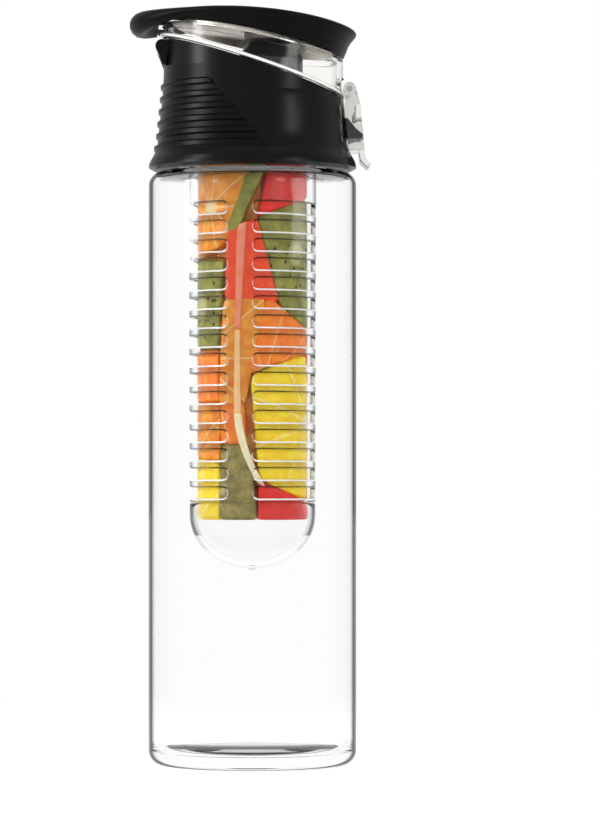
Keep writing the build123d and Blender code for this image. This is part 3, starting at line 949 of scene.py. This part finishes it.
@dataclass
class CapPaintedLight:
    """Pale sheet under the flip cap's plate and round its neck, a painted reflection of the clear cap, and a
    white bead at the skirt's foot, a painted highlight.
    """

    plate: Tilted = Tilted(254.1, 0.0875)
    seat: Tilted = Tilted(250.5, 0.207)
    foot: Tilted = Tilted(242.05, 0.3307)
    radius: float = 27.9
    thickness: float = 0.4
    reflection_sheet_angle: float = 40.0
    bead_radius: float = 31.55
    bead_half: float = 0.6
    bead_steps: int = 12
    bead_angle: float = 60.0
    sides: int = 144

    def reflection_sheet_rings(self) -> list[tuple[float, Tilted, float]]:
        """Lists the reflection sheet's rings, from the plate's middle round the wall's foot to the inner
        middle.

        Returns:
            Each ring's radius, its plane and how far it lies under it.
        """
        inner = self.radius - self.thickness
        return [
            (0.0, self.plate, 0.0), (self.radius, self.plate, 0.0), (self.radius, self.seat, 0.0),
            (inner, self.seat, 0.0), (inner, self.plate, self.thickness), (0.0, self.plate, self.thickness)]

    def reflection_sheet_place(self, ring: int, angle: float) -> Vector:
        """Returns a point of the reflection sheet, by its ring and its angle."""
        radius, plane, drop = self.reflection_sheet_rings()[ring]
        return polar(radius, angle, plane.at(radius * cos(angle)) - drop)

    def bead_place(self, ring: int, angle: float) -> Vector:
        """Finds a point of the bead.

        Args:
            ring: the step round the bead's section.
            angle: the angle about Z in radians.

        Returns:
            The point in metres.
        """
        turn = 2 * pi * ring / self.bead_steps
        radius = self.bead_radius + self.bead_half * cos(turn)
        return polar(radius, angle, self.foot.at(radius * cos(angle)) + self.bead_half * sin(turn))

    def build(self, material: Material, white: Material) -> None:
        """Makes the painted reflection sheet and the painted highlight bead.

        Args:
            material: the reflection sheet's finish.
            white: the bead's finish.
        """
        reflection_sheet = Bench.rings("cap_reflection_sheet", len(self.reflection_sheet_rings()), self.sides, self.reflection_sheet_place)
        Bench.smooth(reflection_sheet, self.reflection_sheet_angle)
        dress(reflection_sheet, material, "flip", "clear_cap")
        bead = Bench.rings("cap_bead", self.bead_steps + 1, self.sides, self.bead_place)
        Bench.smooth(bead, self.bead_angle)
        dress(bead, white, "flip", "clear_cap")


@dataclass
class ClearLatch:
    """Clear front latch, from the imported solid, with its edges rounded."""

    bevel: float = 0.5
    bevel_steps: int = 3
    flat_angle: float = 3.0
    sharp_angle: float = 30.0
    smooth_angle: float = 40.0
    slope: Spot = (0.3, 0.9)

    def on_edge(self, place: Vector, normal: Vector) -> bool:
        """Tells whether a face belongs to the edges that round off sideways."""
        return self.slope[0] < abs(normal.y) < self.slope[1]

    def build(self, node: Piece, material: Material, edges: Material) -> None:
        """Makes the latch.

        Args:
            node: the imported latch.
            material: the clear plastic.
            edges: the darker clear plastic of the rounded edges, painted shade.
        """
        latch = Bench.copy(node, "latch_clip")
        Bench.edit(latch)
        bpy.ops.mesh.remove_doubles(threshold=MERGE * MM)
        bpy.ops.mesh.dissolve_limited(angle_limit=radians(self.flat_angle))
        bpy.ops.object.mode_set(mode="OBJECT")
        Bench.bevel(latch, self.bevel, self.bevel_steps, self.sharp_angle)
        Bench.smooth(latch, self.smooth_angle)
        dress(latch, material, "clip", "clear_cap", "latch")
        # Painted shade on the edges that round off sideways.
        Bench.second_finish(latch, edges, self.on_edge)


@dataclass
class InfuserBasket:
    """Clear tapered basket with a solid top band, three ribs and rows of round-ended slots."""

    radius: float = 22.2
    end_radius: float = 21.8
    wall: float = 1.8
    top: float = 224.2
    foot: float = 90.65
    foot_step: float = 0.7
    foot_band: float = 1.0
    band_steps: tuple[float, ...] = (8.0, 16.0)
    rows: int = 16
    columns: int = 3
    pitch: float = 6.52
    slot_height: float = 3.75
    slot_top: float = 193.6
    slot_steps: int = 4
    rib_angle: float = 24.0
    first_rib: float = -102.0
    sides: int = 120
    bevel: float = 0.55
    bevel_steps: int = 2
    sharp_angle: float = 50.0
    least_tilt: float = 0.3

    def wall_radius(self, height: float) -> float:
        """Returns the outer radius at a height."""
        share = (height - self.foot) / (self.top - self.foot)
        return self.end_radius + share * (self.radius - self.end_radius)

    def heights(self) -> list[float]:
        """Lists the wall's rings.

        Returns:
            The heights of all rings, from the foot up.
        """
        marks = [self.foot, self.foot + self.foot_step]
        for row in reversed(range(self.rows)):
            low = self.slot_top - self.slot_height - row * self.pitch
            marks += [low + self.slot_height * step / self.slot_steps for step in range(self.slot_steps + 1)]
            marks.append(low + (self.slot_height + self.pitch) / 2)
        return marks + [self.slot_top + step for step in self.band_steps] + [self.top]

    def slot_place(self, spot: Vector) -> Spot | None:
        """Finds where a point lies in its slot.

        Args:
            spot: a point of the wall in metres.

        Returns:
            Distances along and up from the slot's middle in millimetres, or None outside the slots' rows.
        """
        radius = hypot(spot.x, spot.y) / MM
        width = 360 / self.columns
        middle = self.slot_top - self.slot_height / 2
        angle = (degrees(atan2(spot.y, spot.x)) - self.first_rib) % width - width / 2
        row = round((middle - spot.z / MM) / self.pitch)
        if not 0 <= row < self.rows:
            return None
        return radians(angle) * radius, spot.z / MM - (middle - row * self.pitch)

    def slot_reach(self, spot: Vector) -> float:
        """Returns half a slot's length in millimetres, at a point's radius."""
        return radians(360 / self.columns - self.rib_angle) / 2 * hypot(spot.x, spot.y) / MM

    def in_slot(self, spot: Vector) -> bool:
        """Tells whether a face lies in a slot.

        Args:
            spot: the face's middle in metres.

        Returns:
            Whether the middle is inside a slot.
        """
        place = self.slot_place(spot)
        if place is None:
            return False
        along, up = place
        return abs(along) < self.slot_reach(spot) and abs(up) < self.slot_height / 2

    def round_ends(self, piece: Piece) -> None:
        """Moves the slots' boundary points onto round ends.

        Args:
            piece: the wall with its slots cut.
        """
        half = self.slot_height / 2
        for vertex in piece.data.vertices:
            place = self.slot_place(vertex.co)
            if place is None:
                continue
            reach = self.slot_reach(vertex.co)
            along, up = place
            if abs(along) > reach + MERGE or abs(up) > half + MERGE or abs(along) < reach - half:
                continue
            side = 1 if along > 0 else -1
            arm = Vector((abs(along) - (reach - half), up))
            if arm.length < MERGE:
                continue
            arm = arm.normalized() * half
            shift = (side * (reach - half + arm.x) - along) * MM / hypot(vertex.co.x, vertex.co.y)
            vertex.co = Matrix.Rotation(shift, 3, "Z") @ vertex.co
            vertex.co.z += (arm.y - up) * MM

    def looks_down(self, place: Vector, normal: Vector) -> bool:
        """Tells whether a face is a slot's upper edge."""
        return normal.z < -self.least_tilt and place.z > (self.foot + self.foot_band) * MM

    def looks_up(self, place: Vector, normal: Vector) -> bool:
        """Tells whether a face is a slot's lower edge or its end."""
        return normal.z > self.least_tilt or sideways(place, normal)

    def build(self, finishes: Finishes) -> None:
        """Makes the basket.

        Args:
            finishes: materials by name.
        """
        path = [(self.wall_radius(height), height) for height in self.heights()]
        tube = Bench.lathe("basket_wall", path, self.sides, self.first_rib)
        Bench.cut_faces(tube, self.in_slot)
        self.round_ends(tube)
        Bench.apply(tube, "SOLIDIFY", thickness=self.wall * MM, offset=-1.0, use_even_offset=True)
        Bench.bevel(tube, self.bevel, self.bevel_steps, self.sharp_angle)
        Bench.smooth(tube, self.sharp_angle)
        dress(tube, finishes["basket"], "basket", "clear_basket", "infuser_basket")
        # Inward faces take faint painted edge shade; the slots' upper edges take painted shade, and their
        # lower edges and ends a painted highlight.
        Bench.second_finish(tube, finishes["inside"], inward)
        Bench.second_finish(tube, finishes["painted_shade"], self.looks_down)
        Bench.second_finish(tube, finishes["painted_highlight"], self.looks_up)


@dataclass
class BasketEnd:
    """Clear domed end cap of the basket, with a rounded rim and a gate nub under it."""

    radius: float = 21.8
    wall: float = 1.7
    top: float = 90.35
    side: float = 4.0
    drop: float = 22.6
    rim: float = 0.3
    rim_low: float = 1.6
    nub: tuple[Spot, ...] = ((0.0, -0.5), (0.8, -0.5), (1.2, -0.25), (1.25, 0.02))
    arc_steps: int = 20
    first_step: int = 2
    sides: int = 144
    smooth_angle: float = 50.0
    side_low: float = 79.0
    dome_low: float = 74.0
    least_tilt: float = 0.3

    def arc(self, radius: float, depth: float, first: int) -> list[Spot]:
        """Draws a side of the dome.

        Args:
            radius: the dome's radius at its top.
            depth: its depth.
            first: the step where the arc starts, from the pole.

        Returns:
            Radii and heights, upwards.
        """
        turns = [pi / 2 * step / self.arc_steps for step in range(first, self.arc_steps + 1)]
        return [(radius * sin(turn), self.top - self.side - depth * cos(turn)) for turn in turns]

    def low(self, place: Vector, normal: Vector) -> bool:
        """Tells whether a face belongs to the dome's middle."""
        return place.z < self.side_low * MM

    def pale(self, place: Vector, normal: Vector) -> bool:
        """Tells whether a face is seen through the dome or lies at its foot."""
        return normal.z > self.least_tilt or place.z < self.dome_low * MM or inward(place, normal)

    def build(self, finishes: Finishes) -> None:
        """Makes the end cap.

        Args:
            finishes: materials by name.
        """
        depth = self.drop - self.side
        bottom = self.top - self.side - depth
        inner = self.radius - self.wall
        nub = [(radius, bottom + rise) for radius, rise in self.nub]
        rim = [(self.radius, self.top - self.rim_low), (self.radius, self.top - self.rim),
               (self.radius - self.rim, self.top), (inner + self.rim, self.top), (inner, self.top - self.rim)]
        outside = self.arc(self.radius, depth, self.first_step)
        inside = self.arc(inner, depth - self.wall, 0)[::-1]
        cap = Bench.lathe("basket_end", nub + outside + rim + inside, self.sides)
        Bench.smooth(cap, self.smooth_angle)
        dress(cap, finishes["end"], "basket_end", "clear_basket", "infuser_end_cap")
        # Painted edge shade eases lower down: the dome's middle takes the cap's copy, and its foot and the
        # faces seen through it take the faintest.
        Bench.second_finish(cap, finishes["cap"], self.low)
        Bench.second_finish(cap, finishes["inside"], self.pale)


class Fruit(Enum):
    """The fruits in the basket, by their finish."""

    AMBER = "amber"
    ORANGE = "orange"
    LEMON = "lemon"
    KIWI = "kiwi"
    BERRY = "berry"
    MELON = "melon"
    PITH = "pith"
    RIND = "rind"
    PEEL = "peel"
    OLIVE = "olive"


@dataclass(frozen=True)
class Slice:
    """One slice of fruit on the basket's wall, by its corners' and its heart's places sideways and up."""

    name: str
    fruit: Fruit
    low_left: Spot
    low_right: Spot
    high_right: Spot
    high_left: Spot
    heart: Spot = (0.0, 0.0)
    lift: float = 0.0
    bow: float = 0.0

    def place(self, across: float, up: float) -> Spot:
        """Finds a point between the corners.

        Args:
            across: share of the way from left to right.
            up: share of the way from low to high.

        Returns:
            The point's place sideways and up, in millimetres.
        """
        low = Vector(self.low_left).lerp(Vector(self.low_right), across)
        high = Vector(self.high_left).lerp(Vector(self.high_right), across)
        spot = low.lerp(high, up)
        return spot.x + 4 * self.bow * up * (1 - up), spot.y


@dataclass
class FruitFilling:
    """Fruit slices that fill the basket, round its wall and in its middle."""

    radius: float = 19.5
    depth: float = 9.0
    cuts: int = 15
    roundness: float = 14.0
    side_limit: float = 0.995
    smooth_angle: float = 60.0
    core_radius: float = 14.0
    core_wave: float = 1.5
    core_turn: float = 1.9
    core_inset: float = 1.0
    core_steps: int = 24
    core_sides: int = 48
    slices: tuple[Slice, ...] = (
        # amber_top's pale heart is the slice's heart and also a painted highlight where a lamp's glint shows.
        Slice("amber_top", Fruit.AMBER, (-19.5, 174), (-8.6, 180), (0, 211.2), (-19.5, 211.2), (-16, 192)),
        Slice("peel_top", Fruit.KIWI, (-9.4, 183.5), (-5.2, 184), (7, 211.2), (1, 211.2), (-40, 190), 0.35),
        Slice("melon_top", Fruit.MELON, (1.5, 188), (19.5, 195.5), (19.5, 211.2), (7, 211.2), (40, 215)),
        Slice("kiwi_right", Fruit.KIWI, (9.4, 159), (19.5, 149.5), (19.5, 195.8), (1.6, 188.2), (17, 176)),
        Slice("berry_middle", Fruit.BERRY, (-10, 160), (9.6, 159), (1.6, 188.4), (-8.8, 184), (30, 172)),
        Slice("kiwi_left", Fruit.KIWI, (-19.5, 143), (-11.8, 143), (-10, 174), (-19.5, 174), (-22, 158)),
        Slice("orange_right", Fruit.ORANGE, (-3, 134), (19.5, 142), (19.5, 150), (5, 162), (4, 134)),
        Slice("amber_middle", Fruit.AMBER, (-12, 124), (-2.6, 124), (5, 162), (-10.5, 160.5), (-20, 140)),
        Slice("lemon_right", Fruit.LEMON, (2.4, 98.6), (19.5, 91), (19.5, 142.2), (-1, 134.2), (24, 118)),
        Slice("pith_low", Fruit.PITH, (1.6, 97.4), (4.6, 95.8), (-3.6, 121.5), (-6.3, 121.5), (30, 118), 0.5,
              -1.7),
        Slice("pith_middle", Fruit.PEEL, (-6.4, 120.5), (-3.8, 120.5), (-4.2, 150), (-6, 150), (30, 130),
              0.5),
        # Painted highlight: this pink strip behind the front rib stands in for the rib's glint.
        Slice("rind_strip_rib_glint", Fruit.RIND, (-6, 150), (-4, 150), (-2, 187), (-5.2, 186), (30, 168), 0.5),
        Slice("orange_left", Fruit.ORANGE, (-19.5, 125), (-11.8, 125), (-11.8, 143), (-19.5, 143),
              (-15, 120)),
        Slice("amber_left", Fruit.AMBER, (-19.5, 106), (-11.2, 104), (-11, 125), (-19.5, 125), (-30, 104)),
        Slice("lemon_left", Fruit.LEMON, (-19.5, 84.7), (-11.4, 84.7), (-11.2, 104), (-19.5, 106), (-24, 84)),
        Slice("orange_low", Fruit.ORANGE, (-11, 110.6), (-2.4, 110.6), (-2.8, 124.4), (-11, 124.4),
              (-14, 130)),
        Slice("olive_low", Fruit.OLIVE, (-11.6, 84.7), (1.8, 84.7), (-1, 110.6), (-11, 110.6), (-12, 96)),
        Slice("melon_low", Fruit.MELON, (1.8, 84.7), (19.5, 84.7), (19.5, 91), (2, 98.6), (40, 70)),
    )

    def build(self, finishes: Finishes) -> None:
        """Makes the slices, their copies at the back and the core.

        Args:
            finishes: materials by name.
        """
        for cut in self.slices:
            front = self.piece(cut)
            back = Bench.copy(front, cut.name + "_back")
            back.data.transform(Matrix.Rotation(pi, 4, "Z"))
            for piece in (front, back):
                Bench.smooth(piece, self.smooth_angle)
                dress(piece, finishes[cut.fruit.value], "basket", "silicone")
        self.core(finishes[Fruit.AMBER.value])

    def piece(self, cut: Slice) -> Piece:
        """Shapes one slice from a divided block whose edges are rounded.

        Args:
            cut: the slice.

        Returns:
            The slice, wrapped to the basket's wall.
        """
        Bench.clear()
        bpy.ops.mesh.primitive_cube_add(size=2)
        piece = Bench.named(cut.name)
        Bench.edit(piece)
        bpy.ops.mesh.subdivide(number_cuts=self.cuts)
        bpy.ops.object.mode_set(mode="OBJECT")
        mark = piece.data.attributes.new(CUT, "FLOAT_VECTOR", "POINT")
        for vertex in piece.data.vertices:
            block = vertex.co
            norm = sum(abs(part) ** self.roundness for part in block) ** (1 / self.roundness)
            block = block * max(abs(part) for part in block) / norm
            side, height = cut.place((block.x + 1) / 2, (block.z + 1) / 2)
            depth = self.depth * (1 - block.y) / 2
            angle = asin(max(-self.side_limit, min(self.side_limit, side / self.radius)))
            reach = (self.radius + cut.lift - depth) * MM
            vertex.co = (reach * sin(angle), -reach * cos(angle), height * MM)
            from_heart = (self.radius * angle - cut.heart[0], height - cut.heart[1], depth)
            mark.data[vertex.index].vector = from_heart
        Bench.close(piece)
        return piece

    def core(self, material: Material) -> None:
        """Makes the pulp in the middle, behind the slices.

        Args:
            material: the pulp's finish.
        """
        low = self.slices[-1].low_left[1] + self.core_inset
        high = self.slices[0].high_left[1] - self.core_inset
        side = [(self.core_radius + self.core_wave * sin(self.core_turn * step),
                 low + (high - low) * step / self.core_steps) for step in range(self.core_steps + 1)]
        core = Bench.lathe("pulp_core", [(0.0, low), *side, (0.0, high)], self.core_sides)
        mark = core.data.attributes.new(CUT, "FLOAT_VECTOR", "POINT")
        for vertex in core.data.vertices:
            mark.data[vertex.index].vector = vertex.co / MM
        Bench.smooth(core, self.smooth_angle)
        dress(core, material, "basket", "silicone")


# Stage


@dataclass(frozen=True)
class SoftBox:
    """A rectangular lamp that faces the bottle; place and size in metres, power in watts."""

    name: str
    place: Corner
    size: Spot
    power: float
    target: Corner = (0.0, 0.0, 0.15)

    def hang(self) -> None:
        """Hangs the lamp in its place."""
        data = bpy.data.lights.new(self.name, "AREA")
        data.shape = "RECTANGLE"
        data.size, data.size_y = self.size
        data.energy = self.power
        lamp = bpy.data.objects.new(self.name, data)
        lamp.location = self.place
        lamp.rotation_euler = (Vector(self.target) - Vector(self.place)).to_track_quat("-Z", "Y").to_euler()
        bpy.context.collection.objects.link(lamp)


@dataclass
class Studio:
    """Floor, world, lamps and camera; distances in metres, angles in degrees."""

    distance: float = 1.318
    eye_height: float = 0.0994
    pitch_up: float = 1.0027
    turn_right: float = 0.716
    lens_angle: float = 12.331
    floor_size: float = 12.0
    floor_colour: Colour = (0.95, 0.95, 0.95)
    floor_fade: Spot = (0.08, 0.35)
    floor_share: float = 0.7
    floor_near: float = 1.18
    world_strength: float = 0.75
    lamps: tuple[SoftBox, ...] = (
        SoftBox("key", (-1.1, -0.48, 0.75), (0.3, 0.5), 5.5),
        SoftBox("fill", (0.93, -0.84, 0.52), (0.12, 0.12), 1.5),
        SoftBox("side", (-1.15, -0.35, 0.36), (0.3, 0.12), 5.0),
        SoftBox("glow", (0.95, -0.74, 0.37), (0.3, 0.1), 1.4),
        SoftBox("top", (0.0, -0.1, 1.3), (0.9, 0.5), 4.0),
    )

    def build(self) -> None:
        """Sets the stage, the light and the camera."""
        self.floor()
        self.world()
        for lamp in self.lamps:
            lamp.hang()
        self.camera()

    def floor(self) -> None:
        """Lays a pale floor that keeps a little of the object's shadow."""
        Bench.clear()
        bpy.ops.mesh.primitive_plane_add(size=self.floor_size)
        floor = Bench.named("floor")
        recipe = Recipe("floor_white")
        away = recipe.node("VectorMath", {0: recipe.place()}, operation="LENGTH").outputs["Value"]
        glow = recipe.fade(away, *self.floor_fade, self.floor_near, 1.0)
        white = recipe.node("Emission", {"Strength": glow}).outputs[0]
        matte = recipe.node("BsdfDiffuse", {"Color": (*self.floor_colour, 1.0)}).outputs[0]
        seen = recipe.rays("Is Camera Ray", "Is Transmission Ray", "Is Glossy Ray")
        share = recipe.maths("MULTIPLY", seen, recipe.fade(away, *self.floor_fade, self.floor_share, 1.0))
        mixed = recipe.node("MixShader", {0: share, 1: matte, 2: white}).outputs[0]
        floor.data.materials.append(recipe.finish(mixed))

    def world(self) -> None:
        """Makes the world white where it is seen and softer where it lights."""
        recipe = Recipe("studio", world=True)
        lit = recipe.node("Background", {"Color": WHITE, "Strength": self.world_strength}).outputs[0]
        white = recipe.node("Background", {"Color": WHITE}).outputs[0]
        seen = recipe.rays("Is Camera Ray", "Is Transmission Ray")
        mixed = recipe.node("MixShader", {0: seen, 1: lit, 2: white}).outputs[0]
        bpy.context.scene.world = recipe.finish(mixed)

    def camera(self) -> None:
        """Places the camera where the photograph was taken from."""
        data = bpy.data.cameras.new("camera")
        data.sensor_fit = "VERTICAL"
        data.angle = radians(self.lens_angle)
        camera = bpy.data.objects.new("camera", data)
        camera.location = (0, -self.distance, self.eye_height)
        camera.rotation_euler = Euler((radians(90 + self.pitch_up), 0, radians(-self.turn_right)))
        bpy.context.collection.objects.link(camera)
        bpy.context.scene.camera = camera


def paint(nodes: dict[str, Piece], finishes: Finishes) -> None:
    """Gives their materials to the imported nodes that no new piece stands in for.

    Args:
        nodes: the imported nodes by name.
        finishes: materials by name.
    """
    for node, finish in PAINTED.items():
        nodes[node].data.materials.clear()
        nodes[node].data.materials.append(finishes[finish])
        LOG.info("%s: %s", node, finish)


def main() -> None:
    """Builds the dressed bottle."""
    logging.basicConfig(level=logging.INFO, format="%(message)s")
    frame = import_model()
    bpy.context.scene.view_settings.view_transform = "Standard"
    finishes = {name: finish.build() for name, finish in FINISHES.items()}
    paint(frame["nodes"], finishes)
    BottleShell().build(finishes)
    CapPaintedLight().build(finishes["reflection_sheet"], finishes["bead"])
    CapCover().build(finishes["cover"])
    ClearLatch().build(frame["nodes"]["latch"], finishes["latch"], finishes["painted_shade"])
    InfuserBasket().build(finishes)
    BasketEnd().build(finishes)
    FruitFilling().build(finishes)
    Studio().build()


if __name__ == "__main__":
    main()
